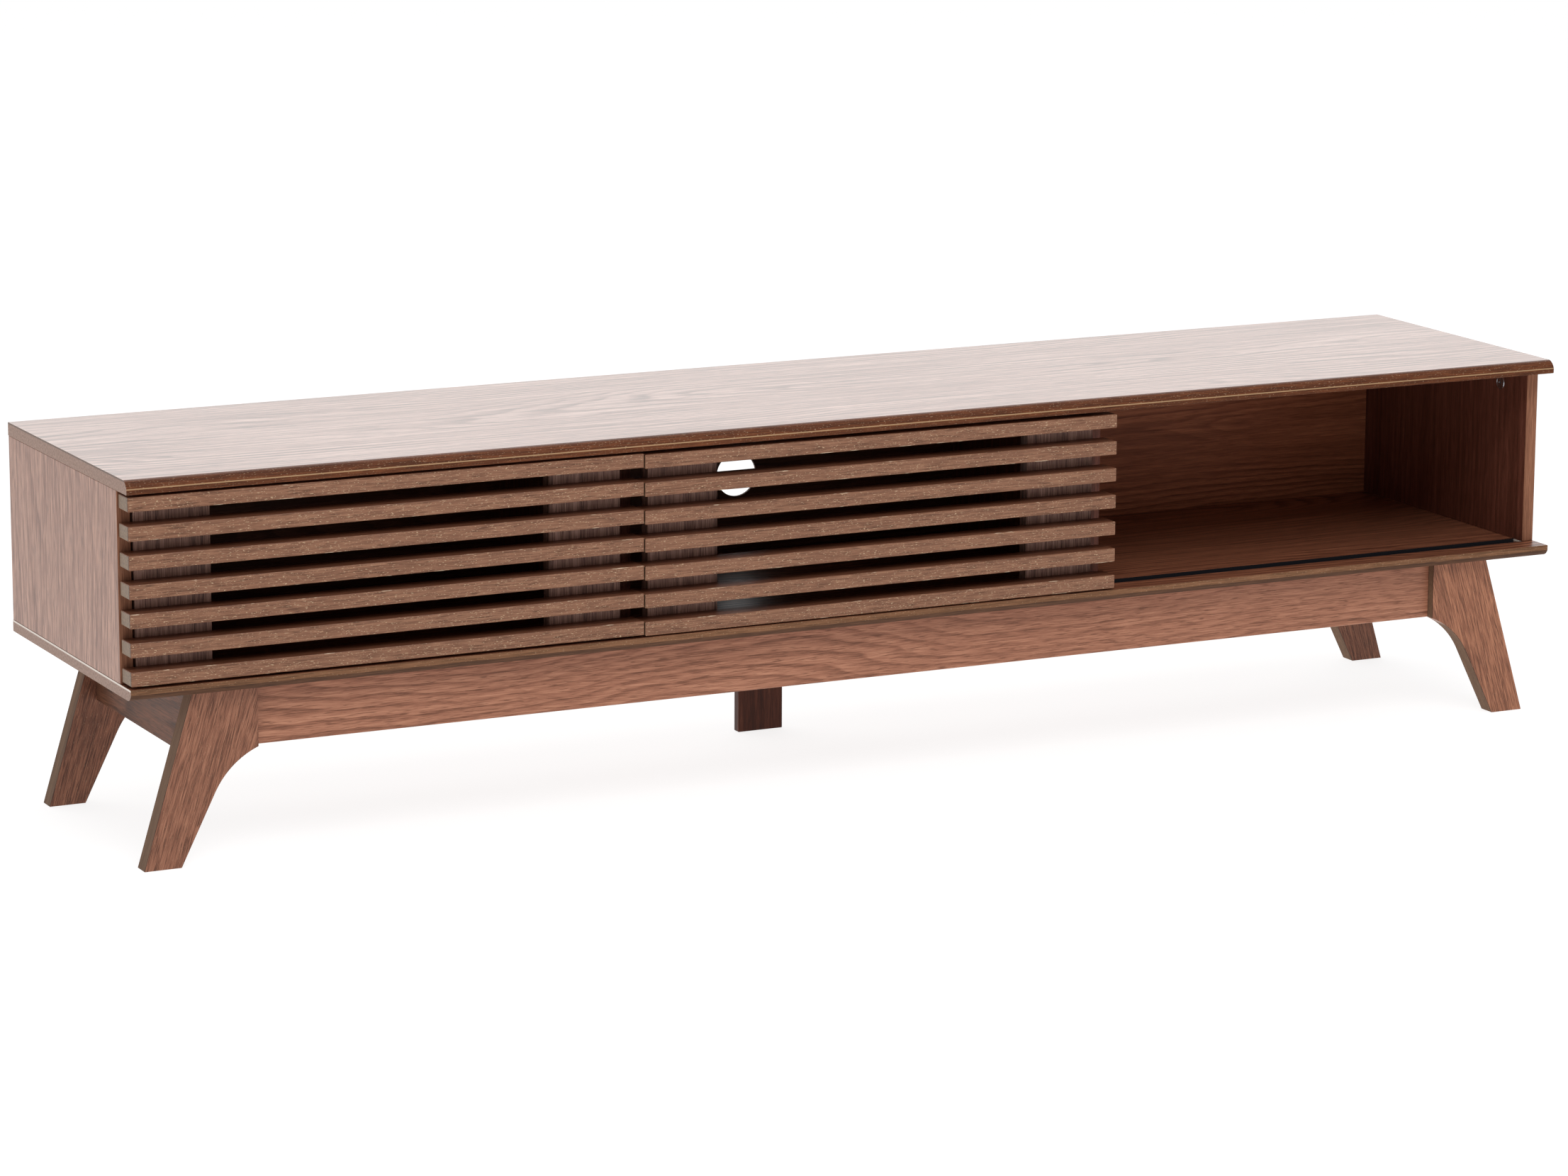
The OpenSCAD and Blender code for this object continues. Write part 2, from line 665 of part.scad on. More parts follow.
module stile(x, low, side) {
    z = stile_z - low;
    color(walnut_light)
        difference() {
            eased_block([stile_x(x, side), slat_back_y, z], [stile_x(x, side) + stile_w, slat_back_y + stile_t, z + stile_h]);
            for (i = [1:slat_count]) slat_screw(x, low, i, side, slip);
            rod([stile_mid(x, side), glide_peg_y, z - 1], glide_peg_d + 2 * slip, glide_peg_l + 1);
            rod([stile_mid(x, side), glide_peg_y, z + stile_h - glide_peg_l], glide_peg_d + 2 * slip, glide_peg_l + 1);
        }
}

module door_screws(x, low) {
    color(zinc) for (i = [1:slat_count], side = [-1, 1]) slat_screw(x, low, i, side);
}

// The glides run in the lower track
module door_glides(x, low) {
    z0 = floor_z - track_h + track_wall + track_floor_gap;
    color(plastic)
        for (side = [-1, 1]) {
            block([stile_mid(x, side) - glide_l / 2, glide_y, z0],
                  [stile_mid(x, side) + glide_l / 2, glide_y + glide_w, stile_z - low]);
            rod([stile_mid(x, side), glide_peg_y, z0], glide_peg_d, stile_z - low - z0 + glide_peg_l - slip);
        }
}

// The guides run in the upper track
module door_guides(x, low) {
    z0 = stile_z + stile_h - low;
    z1 = roof_z + track_h - track_wall - 1.5;
    color(plastic)
        for (side = [-1, 1]) {
            block([stile_mid(x, side) - glide_l / 2, glide_y, z0], [stile_mid(x, side) + glide_l / 2, glide_y + glide_w, z1]);
            rod([stile_mid(x, side), glide_peg_y, z0 - glide_peg_l + slip], glide_peg_d, z1 - z0 + glide_peg_l - slip);
        }
}

module left_door_stile_left() { stile(left_door_x, 0, -1); }
module left_door_stile_right() { stile(left_door_x, 0, 1); }
module left_door_slat_1() { slat(left_door_x, 0, 1); }
module left_door_slat_2() { slat(left_door_x, 0, 2); }
module left_door_slat_3() { slat(left_door_x, 0, 3); }
module left_door_slat_4() { slat(left_door_x, 0, 4); }
module left_door_slat_5() { slat(left_door_x, 0, 5); }
module left_door_slat_6() { slat(left_door_x, 0, 6); }
module left_door_slat_7() { slat(left_door_x, 0, 7); }
module left_door_screws() { door_screws(left_door_x, 0); }
module left_door_glides() { door_glides(left_door_x, 0); }
module left_door_guides() { door_guides(left_door_x, 0); }

module middle_door_stile_left() { stile(middle_door_x, middle_drop, -1); }
module middle_door_stile_right() { stile(middle_door_x, middle_drop, 1); }
module middle_door_slat_1() { slat(middle_door_x, middle_drop, 1); }
module middle_door_slat_2() { slat(middle_door_x, middle_drop, 2); }
module middle_door_slat_3() { slat(middle_door_x, middle_drop, 3); }
module middle_door_slat_4() { slat(middle_door_x, middle_drop, 4); }
module middle_door_slat_5() { slat(middle_door_x, middle_drop, 5); }
module middle_door_slat_6() { slat(middle_door_x, middle_drop, 6); }
module middle_door_slat_7() { slat(middle_door_x, middle_drop, 7); }
module middle_door_screws() { door_screws(middle_door_x, middle_drop); }
module middle_door_glides() { door_glides(middle_door_x, middle_drop); }
module middle_door_guides() { door_guides(middle_door_x, middle_drop); }

top_panel();
bottom_panel();
side_panel_left();
side_panel_right();
divider_left();
divider_right();
back_panel();
track_upper();
track_lower();
front_apron();
rear_apron();
side_rail_left();
side_rail_right();
leg_front_left();
leg_front_right();
leg_rear_left();
leg_rear_right();
centre_leg();
cam_locks();
cam_bolts();
dowels();
carcass_screws();
base_cam_locks();
base_cam_bolts();
base_dowels();
angle_brackets();
bracket_screws();
centre_leg_screws();
back_pins();
left_door_stile_left();
left_door_stile_right();
left_door_slat_1();
left_door_slat_2();
left_door_slat_3();
left_door_slat_4();
left_door_slat_5();
left_door_slat_6();
left_door_slat_7();
left_door_screws();
left_door_glides();
left_door_guides();
middle_door_stile_left();
middle_door_stile_right();
middle_door_slat_1();
middle_door_slat_2();
middle_door_slat_3();
middle_door_slat_4();
middle_door_slat_5();
middle_door_slat_6();
middle_door_slat_7();
middle_door_screws();
middle_door_glides();
middle_door_guides();
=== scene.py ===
# %% [markdown]
# # A low media cabinet in walnut-look board
# The cabinet's boards, doors and fittings arrive as finished solids, so this lesson is about what makes
# them look real: the printed walnut foil and the way its grain turns from board to board, the plain edge
# bands, black plastic tracks, zinc screws and lock flanges, and a plain studio to see them in.

# %% Load the frame
import math

import bmesh
import bpy
from mathutils import Matrix, Vector


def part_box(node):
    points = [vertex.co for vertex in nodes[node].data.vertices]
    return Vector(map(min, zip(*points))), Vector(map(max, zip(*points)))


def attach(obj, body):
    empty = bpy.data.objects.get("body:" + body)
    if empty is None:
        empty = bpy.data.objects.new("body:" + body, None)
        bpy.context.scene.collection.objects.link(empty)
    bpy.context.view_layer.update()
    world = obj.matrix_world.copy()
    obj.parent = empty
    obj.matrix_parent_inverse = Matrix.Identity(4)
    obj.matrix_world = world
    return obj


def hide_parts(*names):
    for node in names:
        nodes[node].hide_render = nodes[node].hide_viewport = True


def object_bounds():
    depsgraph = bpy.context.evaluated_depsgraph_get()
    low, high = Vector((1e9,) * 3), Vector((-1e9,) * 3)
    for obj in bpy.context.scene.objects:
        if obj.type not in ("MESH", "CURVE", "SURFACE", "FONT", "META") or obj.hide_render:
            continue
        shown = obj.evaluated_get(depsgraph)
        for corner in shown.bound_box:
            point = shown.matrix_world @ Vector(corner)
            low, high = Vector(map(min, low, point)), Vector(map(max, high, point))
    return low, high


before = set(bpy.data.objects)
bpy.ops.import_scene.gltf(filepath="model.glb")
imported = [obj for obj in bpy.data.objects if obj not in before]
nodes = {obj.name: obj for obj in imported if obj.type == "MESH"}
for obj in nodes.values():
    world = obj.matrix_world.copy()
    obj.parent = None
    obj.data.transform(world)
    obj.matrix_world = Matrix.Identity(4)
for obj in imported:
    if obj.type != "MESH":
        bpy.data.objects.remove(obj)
cad_box = [list(corner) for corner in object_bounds()]
low, high = Vector(cad_box[0]), Vector(cad_box[1])
print("cabinet", [round(v, 4) for v in high - low], "m, in", len(nodes), "nodes")

# %% [markdown]
# Everything the import leaves selected is let go, so that a later operator acts only on what it should.

# %% Let go of the selection
bpy.ops.object.select_all(action="DESELECT")

# %% [markdown]
# ## Small helpers for shader graphs
# A wood foil is many simple nodes. One short function per kind of node keeps the recipes below readable:
# each takes either a number or another node's output for each of its inputs.

# %% Node helpers


def plug(tree, socket, value):
    """Link an output to a socket, or set the socket's own value."""
    if isinstance(value, bpy.types.NodeSocket):
        tree.links.new(value, socket)
    elif value is not None:
        socket.default_value = value


def sums(tree, operation, a, b=None, c=None):
    node = tree.nodes.new("ShaderNodeMath")
    node.operation = operation
    for socket, value in zip(node.inputs, (a, b, c)):
        plug(tree, socket, value)
    return node.outputs[0]


def blend(tree, factor, a, b):
    node = tree.nodes.new("ShaderNodeMix")
    node.data_type = "RGBA"
    plug(tree, node.inputs[0], factor)
    plug(tree, node.inputs[6], a)
    plug(tree, node.inputs[7], b)
    return node.outputs[2]


def between(tree, value, start, end, to=(0.0, 1.0), smooth=False):
    """Remap value from start..end to the range given, held at both ends."""
    node = tree.nodes.new("ShaderNodeMapRange")
    node.interpolation_type = "SMOOTHSTEP" if smooth else "LINEAR"
    for socket, number in zip(node.inputs, (value, start, end, *to)):
        plug(tree, socket, number)
    return node.outputs[0]


def stretched(tree, vector, scale):
    node = tree.nodes.new("ShaderNodeVectorMath")
    node.operation = "MULTIPLY"
    plug(tree, node.inputs[0], vector)
    plug(tree, node.inputs[1], scale)
    return node.outputs[0]


def noise(tree, vector, detail=2.0, rough=0.5, warp=0.0):
    node = tree.nodes.new("ShaderNodeTexNoise")
    plug(tree, node.inputs["Vector"], vector)
    node.inputs["Scale"].default_value = 1.0
    node.inputs["Detail"].default_value = detail
    node.inputs["Roughness"].default_value = rough
    node.inputs["Distortion"].default_value = warp
    return node.outputs["Fac"]


def split(tree, vector):
    node = tree.nodes.new("ShaderNodeSeparateXYZ")
    plug(tree, node.inputs[0], vector)
    return node.outputs


def joined(tree, x, y, z):
    node = tree.nodes.new("ShaderNodeCombineXYZ")
    for socket, value in zip(node.inputs, (x, y, z)):
        plug(tree, socket, value)
    return node.outputs[0]


def object_place(tree):
    return tree.nodes.new("ShaderNodeTexCoord").outputs["Object"]


def srgb(text):
    """A colour written as on the web, such as 8a6248, as the linear numbers that shaders use."""
    numbers = [int(text[i : i + 2], 16) / 255 for i in (0, 2, 4)]
    linear = [n / 12.92 if n <= 0.04045 else ((n + 0.055) / 1.055) ** 2.4 for n in numbers]
    return (*linear, 1.0)


# %% [markdown]
# ## The walnut foil
# The boards are covered with printed foil. The print has five layers, each at its own size: year rings,
# which close into arches where the cut crosses them, broad soft streaks, short wavy strokes, dark pores,
# and tiny light specks. Rings are lines of equal distance from the arch's middle, pushed about by noise,
# and the other layers are noise stretched along the grain. The group below takes a position whose X runs
# along the grain and starts at an arch's tip, so the same print serves upright and lying boards.

# %% Sizes of the print
LAYERS = ("Rings", "Streaks", "Strokes", "Pores", "Specks")
RINGS_PER_M = 90.0
SWAY_IN_RINGS, WAVER_IN_RINGS = 19.0, 1.3
RING_DEPTH, LAYER_DEPTH, RESTING_TONE = 0.62, 0.6, 0.52
SPECK_COLOUR = "c9ad8c"
# How many cells each noise has in a metre, along the grain and across it.
CELLS = {
    "sway": (1.3, 5.0), "waver": (9.0, 42.0), "presence": (2.2, 16.0), "streaks": (3.0, 150.0),
    "strokes": (32.0, 820.0), "dashes": (55.0, 900.0), "flecks": (420.0, 1300.0),
}
# How far one step of the seed moves the print, in metres.
SEED_STEP = (1.71, 0.37, 0.53)

# %% Walnut group


def grain_noise(tree, spot, name, detail, rough=0.5, warp=0.0):
    along, across = CELLS[name]
    return noise(tree, stretched(tree, spot, (along, across, across)), detail, rough, warp)


def year_rings(tree, place, spot, slope):
    """High on the dark late wood of each ring, which is strong in some places and faint in others."""
    x, y, z = split(tree, place)
    across = sums(tree, "ADD", y, z)
    sway = grain_noise(tree, spot, "sway", 1.5)
    waver = grain_noise(tree, spot, "waver", 2.0, 0.6)
    rise = sums(tree, "MULTIPLY", x, slope)
    squared = sums(tree, "MULTIPLY_ADD", rise, rise, sums(tree, "MULTIPLY", across, across))
    reach = sums(tree, "SQRT", squared)
    turns = sums(tree, "MULTIPLY_ADD", reach, RINGS_PER_M, sums(tree, "MULTIPLY", sway, SWAY_IN_RINGS))
    turns = sums(tree, "MULTIPLY_ADD", waver, WAVER_IN_RINGS, turns)
    ring = sums(tree, "FRACT", turns)
    fading = between(tree, ring, 0.0, 0.6, (1.0, 0.0), True)
    coming = between(tree, ring, 0.86, 1.0, smooth=True)
    late = sums(tree, "SUBTRACT", sums(tree, "ADD", fading, coming), 0.4)
    presence = grain_noise(tree, spot, "presence", 2.0)
    return sums(tree, "MULTIPLY", late, between(tree, presence, 0.35, 0.65, (0.15, 1.0)))


def make_walnut_group():
    tree = bpy.data.node_groups.new("walnut_foil", "ShaderNodeTree")
    face = tree.interface
    face.new_socket("Place", in_out="INPUT", socket_type="NodeSocketVector")
    for name in ("Light", "Middle", "Dark"):
        face.new_socket(name, in_out="INPUT", socket_type="NodeSocketColor")
    for name in ("Seed", "Arch", *LAYERS):
        face.new_socket(name, in_out="INPUT", socket_type="NodeSocketFloat").default_value = 0.5
    face.new_socket("Color", in_out="OUTPUT", socket_type="NodeSocketColor")
    for name in ("Roughness", "Height", "Tone"):
        face.new_socket(name, in_out="OUTPUT", socket_type="NodeSocketFloat")
    given = tree.nodes.new("NodeGroupInput").outputs
    out = tree.nodes.new("NodeGroupOutput").inputs

    moved = tree.nodes.new("ShaderNodeVectorMath")
    plug(tree, moved.inputs[0], given["Place"])
    shift = joined(tree, *(sums(tree, "MULTIPLY", given["Seed"], step) for step in SEED_STEP))
    plug(tree, moved.inputs[1], shift)
    spot = moved.outputs[0]

    rings = year_rings(tree, given["Place"], spot, given["Arch"])
    streaks = between(tree, grain_noise(tree, spot, "streaks", 4.0, 0.6), 0.32, 0.68)
    strokes = between(tree, grain_noise(tree, spot, "strokes", 2.0, 0.6, 0.5), 0.36, 0.64)
    dashes = grain_noise(tree, spot, "dashes", 1.0)
    flecks = grain_noise(tree, spot, "flecks", 0.0)

    darkening = sums(tree, "MULTIPLY", rings, -RING_DEPTH)
    tone = sums(tree, "MULTIPLY_ADD", darkening, given["Rings"], RESTING_TONE)
    for layer, name in ((streaks, "Streaks"), (strokes, "Strokes")):
        swing = sums(tree, "MULTIPLY", sums(tree, "SUBTRACT", layer, 0.5), LAYER_DEPTH)
        tone = sums(tree, "MULTIPLY_ADD", swing, given[name], tone)
    dark_part = blend(tree, between(tree, tone, 0.0, 0.5), given["Dark"], given["Middle"])
    colour = blend(tree, between(tree, tone, 0.5, 1.0), dark_part, given["Light"])
    pores = sums(tree, "MULTIPLY", between(tree, dashes, 0.60, 0.70), given["Pores"])
    colour = blend(tree, pores, colour, given["Dark"])
    specks = sums(tree, "MULTIPLY", between(tree, flecks, 0.70, 0.80), given["Specks"])
    colour = blend(tree, specks, colour, srgb(SPECK_COLOUR))

    plug(tree, out["Color"], colour)
    plug(tree, out["Roughness"], between(tree, strokes, 0.0, 1.0, (0.34, 0.42)))
    plug(tree, out["Tone"], tone)
    plug(tree, out["Height"], sums(tree, "SUBTRACT", sums(tree, "MULTIPLY", strokes, 0.5), pores))
    return tree


walnut = make_walnut_group()
print("walnut group:", len(walnut.nodes), "nodes")

# %% [markdown]
# ## Which way the grain runs
# A board's position is turned before it reaches the print: for an upright board Z becomes the grain's X,
# and for a leg the position is first leaned over by the leg's own angle. An arch's tip and middle are then
# moved to the origin. With a small slope its rings are nearly straight.

# %% Grain direction
ALONG = {"x": (0, 1, 2), "y": (1, 0, 2), "z": (2, 0, 1)}
# Where an arch's tip lies along the grain and across it, and the slope that makes it blunt or long.
STRAIGHT = (0.0, 0.35, 0.05)


def grain_place(tree, along, arch, lean=0.0):
    coordinates = object_place(tree)
    if lean:
        turn = tree.nodes.new("ShaderNodeMapping")
        turn.inputs["Rotation"].default_value = (0.0, lean, 0.0)
        plug(tree, turn.inputs["Vector"], coordinates)
        coordinates = turn.outputs[0]
    parts = split(tree, coordinates)
    placed = joined(tree, *(parts[i] for i in ALONG[along]))
    shift = tree.nodes.new("ShaderNodeVectorMath")
    shift.operation = "SUBTRACT"
    shift.inputs[1].default_value = (arch[0], arch[1], 0.0)
    plug(tree, shift.inputs[0], placed)
    return shift.outputs[0]


# %% [markdown]
# Masks pick out faces by the way they look, and thin lines by their place. They stand for edge bands, glue
# lines, painted shade, painted highlights and painted glints on corners, which all follow the boards' own
# shapes.

# %% Masks


def facing(tree, axis, sign=0, start=0.80, end=0.90):
    """1 on faces that look along an axis: both ways, or with a sign only one way."""
    normal = tree.nodes.new("ShaderNodeNewGeometry").outputs["True Normal"]
    part = split(tree, normal)["XYZ".index(axis)]
    part = sums(tree, "MULTIPLY", part, float(sign)) if sign else sums(tree, "ABSOLUTE", part)
    return between(tree, part, start, end)


def line_at(tree, axis, where, half_width):
    """1 within half_width of a plane across an axis, with a slightly soft edge."""
    place = split(tree, object_place(tree))["XYZ".index(axis)]
    off = sums(tree, "ABSOLUTE", sums(tree, "SUBTRACT", place, where))
    return between(tree, off, half_width * 0.6, half_width * 1.4, (1.0, 0.0))


def both(tree, a, b):
    return sums(tree, "MULTIPLY", a, b)


# %% [markdown]
# ## What a board's finish is made of
# Every board starts as the print, and is then overlaid, from a short list: a plain band on its cut ends,
# another print on some of its faces or a darker copy of it as painted shade, a thin seam or a thin painted
# line of highlight or shade, or painted glints on corners. Each overlay is a function that takes the colour
# so far and gives the new one.

# %% Overlays


def printed(tree, place, seed, arch_slope, colours, layers):
    """The walnut group, with its own colours (light, middle, dark) and an amount for each of LAYERS."""
    node = tree.nodes.new("ShaderNodeGroup")
    node.node_tree = walnut
    plug(tree, node.inputs["Place"], place)
    node.inputs["Seed"].default_value = seed
    node.inputs["Arch"].default_value = arch_slope
    for socket, colour in zip(("Light", "Middle", "Dark"), colours):
        node.inputs[socket].default_value = srgb(colour)
    for socket, amount in zip(LAYERS, layers):
        node.inputs[socket].default_value = amount
    return node.outputs


def end_band(light="a98674", dark="896856"):
    def add(tree, place, under):
        speck = noise(tree, stretched(tree, place, (60.0, 420.0, 420.0)), detail=3.0)
        plain = blend(tree, between(tree, speck, 0.35, 0.65), srgb(dark), srgb(light))
        return blend(tree, facing(tree, "X"), under, plain)
    return add


# Another print on the faces of a mask, or a darker copy of the print there as painted shade.
def print_or_painted_shade(mask, seed, colours, layers):
    def add(tree, place, under):
        over = printed(tree, place, seed, STRAIGHT[2], colours, layers)["Color"]
        return blend(tree, mask(tree), under, over)
    return add


# A thin line along a plane: a dark seam where parts meet, or a painted highlight or painted shade along an
# edge.
def seam_or_painted_line(axis, where, half_width, colour, strength, mask):
    def add(tree, place, under):
        line = sums(tree, "MULTIPLY", line_at(tree, axis, where, half_width), strength)
        return blend(tree, both(tree, line, mask(tree)), under, srgb(colour))
    return add


def painted_glint_arrises(colour, share):
    """Painted glints: light bits along the narrow eased faces of a slat, which look between Y and Z."""
    def add(tree, place, under):
        parts = split(tree, tree.nodes.new("ShaderNodeNewGeometry").outputs["True Normal"])
        a, b = (sums(tree, "ABSOLUTE", part) for part in parts[1:3])
        eased = both(tree, between(tree, a, 0.5, 0.6), between(tree, b, 0.5, 0.6))
        bits = noise(tree, stretched(tree, place, (26.0, 26.0, 26.0)), detail=3.0, rough=0.7)
        return blend(tree, both(tree, eased, between(tree, bits, share, share + 0.08)), under, srgb(colour))
    return add


print("overlays:", [make.__name__ for make in (end_band, print_or_painted_shade, seam_or_painted_line, painted_glint_arrises)])

# %% [markdown]
# A printed board is satin at most, so its bare gloss is low, and edge bands are rougher still. The faces
# that are lacquered get a clear coat, which lies more evenly over light grain than over open dark pores.
# The bump is a quarter of a millimetre deep at most: strokes stand up and pores are pressed in.

# %% A board's material
BAND_ROUGHNESS = 0.75
COAT_ROUGHNESS = 0.28
BUMP_STRENGTH, BUMP_DEPTH = 0.35, 0.00025


def add_bump(tree, shader, height, strength, depth):
    bump = tree.nodes.new("ShaderNodeBump")
    bump.inputs["Strength"].default_value = strength
    bump.inputs["Distance"].default_value = depth
    plug(tree, bump.inputs["Height"], height)
    plug(tree, shader.inputs["Normal"], bump.outputs[0])


def foil(name, along, seed, colours, layers, overlays=(), arch=STRAIGHT, lean=0.0,
         gloss=0.25, shine=None, matt=None):
    """gloss: the bare foil's specular level. shine: a mask of lacquered faces, and the coat's weight on
    dark and on light grain. matt: a mask of faces that are rough all over, such as bands."""
    material = bpy.data.materials.new(name)
    material.use_nodes = True
    tree = material.node_tree
    shader = tree.nodes["Principled BSDF"]
    place = grain_place(tree, along, arch, lean)
    main = printed(tree, place, seed, arch[2], colours, layers)
    colour, rough = main["Color"], main["Roughness"]
    for overlay in overlays:
        colour = overlay(tree, place, colour)
    if matt:
        rough = sums(tree, "MAXIMUM", rough, sums(tree, "MULTIPLY", matt(tree), BAND_ROUGHNESS))
    plug(tree, shader.inputs["Base Color"], colour)
    plug(tree, shader.inputs["Roughness"], rough)
    shader.inputs["Specular IOR Level"].default_value = gloss
    if shine:
        mask, weights = shine
        weight = between(tree, main["Tone"], 0.1, 0.9, weights)
        plug(tree, shader.inputs["Coat Weight"], both(tree, mask(tree), weight))
        shader.inputs["Coat Roughness"].default_value = COAT_ROUGHNESS
    add_bump(tree, shader, main["Height"], BUMP_STRENGTH, BUMP_DEPTH)
    return material


# %% [markdown]
# ## The boards' finishes
# The foil is one walnut, but each board shows it differently: the top is pale under its sheen, fronts are
# yellower, and the aprons and legs are redder. Heights and edges come from the frame.

# %% Places from the frame
bottom_box, top_box, slat_box = (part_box(name) for name in ("bottom_panel", "top_panel", "left_door_slat_4"))
LIP_H = 0.006
end_x, lip_top_z = high.x, top_box[0].z + LIP_H
divider_x = sum(corner.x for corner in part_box("divider_right")) / 2
print("lip's top at", round(lip_top_z, 4), "m, open bay from", round(divider_x, 4), "m")


def front(tree):
    return facing(tree, "Y", -1, 0.10, 0.20)


def up(tree):
    return facing(tree, "Z", 1, 0.85, 0.95)


def sideways(tree):
    return facing(tree, "X", 0, 0.5, 0.6)


def rearward(tree):
    return facing(tree, "Y", 1)


def outward_left(tree):
    return facing(tree, "X", -1)


def outward_right(tree):
    return facing(tree, "X", 1)


# Faces that look forward and down, under the bottom's nose, where a darker copy of the print is painted
# shade.
def under_nose(tree):
    return both(tree, front(tree), facing(tree, "Z", -1, 0.2, 0.4))


# 1 left of the right divider: the part of the back behind the doors, which gets painted shade.
def painted_shade_behind_doors(tree):
    across = split(tree, object_place(tree))[0]
    return between(tree, across, divider_x - 0.01, divider_x + 0.01, (1.0, 0.0), True)


# %% [markdown]
# Long boards carry their grain along X. The noses of the top and bottom have a wrapped print of their own,
# with no rings, and the bottom's faces that look down under its nose have a darker copy as painted shade.
# The light line under the top's nose is a painted highlight along the lip's edge, the thin dark line along
# the top's ends is painted shade at its edge, and the bright line low on the side is a painted highlight
# along the bottom board's edge.

# %% Top and bottom
NOSE = ("7e4829", "5c3119", "3a1c0b")
FRONT = ("94694c", "785339", "4e3524")
# A darker copy of the front print for the faces under the bottom's nose: painted shade.
PAINTED_SHADE_UNDER_NOSE = ("6e4b35", "543725", "362216")

board_top = foil(
    "walnut_top", "x", 1.0, ("c29e8e", "9a7262", "5f4133"), (0.8, 1.2, 0.9, 0.7, 0.0),
    [print_or_painted_shade(front, 1.4, NOSE, (0.0, 0.5, 0.8, 0.4, 0.4)),
     end_band(),
     # A painted highlight along the lip's upper edge, and painted shade along the top edge of the board's
     # ends.
     seam_or_painted_line("Z", lip_top_z, 0.0006, "b8956f", 0.8, front),
     seam_or_painted_line("Z", high.z - 0.001, 0.0009, "5d4739", 0.8, sideways)],
    arch=(0.3, 0.02 + high.z, 0.05), shine=(up, (0.82, 1.0)), matt=front,
)
board_bottom = foil(
    "walnut_bottom", "x", 7.3, ("a66c50", "7f4e39", "4e2c1f"), (0.9, 0.9, 0.6, 0.5, 0.0),
    [print_or_painted_shade(front, 7.7, FRONT, (0.0, 0.5, 0.8, 0.4, 0.4)),
     print_or_painted_shade(under_nose, 7.7, PAINTED_SHADE_UNDER_NOSE, (0.0, 0.5, 0.8, 0.4, 0.0)),
     end_band(),
     # A painted highlight along the upper edge of the board's ends.
     seam_or_painted_line("Z", bottom_box[1].z - 0.001, 0.0011, "efe2d6", 1.0, sideways)],
    shine=(up, (0.1, 0.3)), matt=front,
)

# %% [markdown]
# Uprights carry their grain along Z. A side panel is pale and slightly glossy outside, banded on its front
# edge, and deep brown inside, a darker copy of its print as painted shade; the dividers are all in that
# painted shade. The back is one board: warm in the open bay, plain walnut on its rear face, and darker
# behind the doors, where a darker copy of its print is painted shade.

# %% Sides, dividers and back
SIDE = ("c6957c", "a1725d", "704839")
SIDE_FRONT = ("ac785c", "8c5d45", "5f3c2b")
PAINTED_SHADE_INSIDE = ("845040", "63382b", "402319")
# Inner faces of the sides and the dividers: a darker copy of the print, painted shade.
BACK = ("c87e5a", "9a5b40", "5c3020")
# The back behind the doors: a darker copy of its print, painted shade.
SHADED_BACK = ("764a36", "553223", "341c13")
REAR_FACE = ("946a53", "795441", "53382a")

side_finishes = {
    side: foil(
        "walnut_side_" + side, "z", seed, SIDE, (0.45, 0.7, 1.2, 0.7, 0.0),
        [print_or_painted_shade(front, seed + 0.3, SIDE_FRONT, (0.0, 0.5, 0.7, 0.3, 0.0)),
         print_or_painted_shade(inner, seed + 0.6, PAINTED_SHADE_INSIDE, (0.3, 0.7, 0.6, 0.5, 0.0))],
        arch=(0.375, sign * end_x, 0.22), shine=(outer, (0.15, 0.42)), matt=front,
    )
    for side, sign, seed, outer, inner in (
        ("left", -1, 3.1, outward_left, outward_right),
        ("right", 1, 3.9, outward_right, outward_left),
    )
}
board_divider = foil("walnut_divider", "z", 5.7, PAINTED_SHADE_INSIDE, (0.4, 0.6, 0.5, 0.5, 0.0), gloss=0.15)
board_back = foil(
    "walnut_back", "x", 11.9, BACK, (0.7, 0.6, 0.35, 0.3, 0.0),
    [print_or_painted_shade(painted_shade_behind_doors, 12.3, SHADED_BACK, (0.5, 0.5, 0.3, 0.3, 0.0)),
     print_or_painted_shade(rearward, 12.8, REAR_FACE, (0.5, 0.6, 0.6, 0.4, 0.0))],
    arch=(0.72, 0.50, 0.10), gloss=0.1,
)

# %% [markdown]
# The slats are narrow and handled most: their print is fine and even, with pale specks, their ends show a
# grey-brown band with a dark seam at its front, their upper faces have a darker copy of the print as painted
# shade, and their eased corners carry painted glints in bits. The stiles behind them are pinker, with upright
# streaks.

# %% Slats and stiles
SLAT_SEAM_FROM_FRONT = 0.0016
slat_foil = foil(
    "walnut_slat", "x", 2.2, ("a87d61", "855c46", "573929"), (0.05, 0.25, 0.65, 0.7, 0.8),
    # A darker copy of the print on the slats' upper faces: painted shade.
    [print_or_painted_shade(up, 2.9, ("8e604a", "734834", "4c2d20"), (0.0, 0.6, 0.8, 0.4, 0.0)),
     end_band("93795f", "77604c"),
     seam_or_painted_line("Y", slat_box[0].y + SLAT_SEAM_FROM_FRONT, 0.0006, "2b1d14", 0.9, sideways),
     # Painted glints in bits along the eased corners.
     painted_glint_arrises("d8c0a4", 0.60)],
)
stile_foil = foil("walnut_stile", "z", 9.4, ("bd9484", "987264", "5c4036"), (0.0, 1.1, 1.0, 0.5, 0.0))

# %% [markdown]
# The base is redder than the carcass. On a leg the grain follows the leg's lean, its narrow sides are
# banded in a greener brown, and a dark glue line shows where the band meets the front.

# %% Base
RED = ("c0886c", "a26c54", "6c4331")
RAIL = ("855a46", "6c4836", "432c22")
